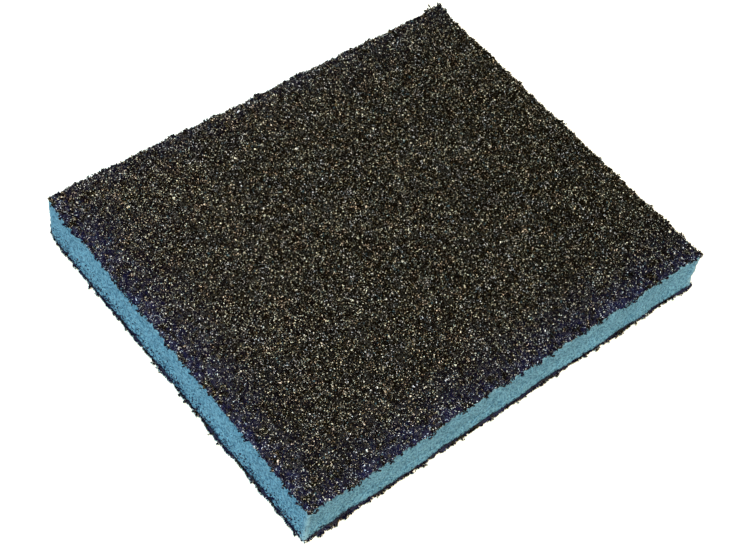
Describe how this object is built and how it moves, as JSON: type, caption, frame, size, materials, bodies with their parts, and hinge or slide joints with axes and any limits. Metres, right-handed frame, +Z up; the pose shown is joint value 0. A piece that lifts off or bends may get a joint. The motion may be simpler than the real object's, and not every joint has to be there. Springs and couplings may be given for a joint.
{
  "type": "sanding block",
  "caption": "Flat double-sided sanding sponge: a soft foam pad with coarse dark abrasive on both wide faces, for sanding by hand.",
  "frame": {"origin": "middle of the bottom face, on the surface that the pad lies on", "axes": "+X along the pad's length, +Y along its width, +Z up through its thickness"},
  "size_m": [0.12, 0.098, 0.013],
  "materials": {
    "foam": "light blue polyurethane foam with fine open cells, dull",
    "bond_resin": "dark indigo cured resin, slightly glossy",
    "abrasive_grain": "coarse dark brown-black abrasive grain with glassy facets that glint"
  },
  "bodies": {
    "root": {"bottom_grit_layer": "abrasive_grain", "bottom_bond_coat": "bond_resin", "foam_core": "foam", "top_bond_coat": "bond_resin", "top_grit_layer": "abrasive_grain"}
  },
  "joints": []
}
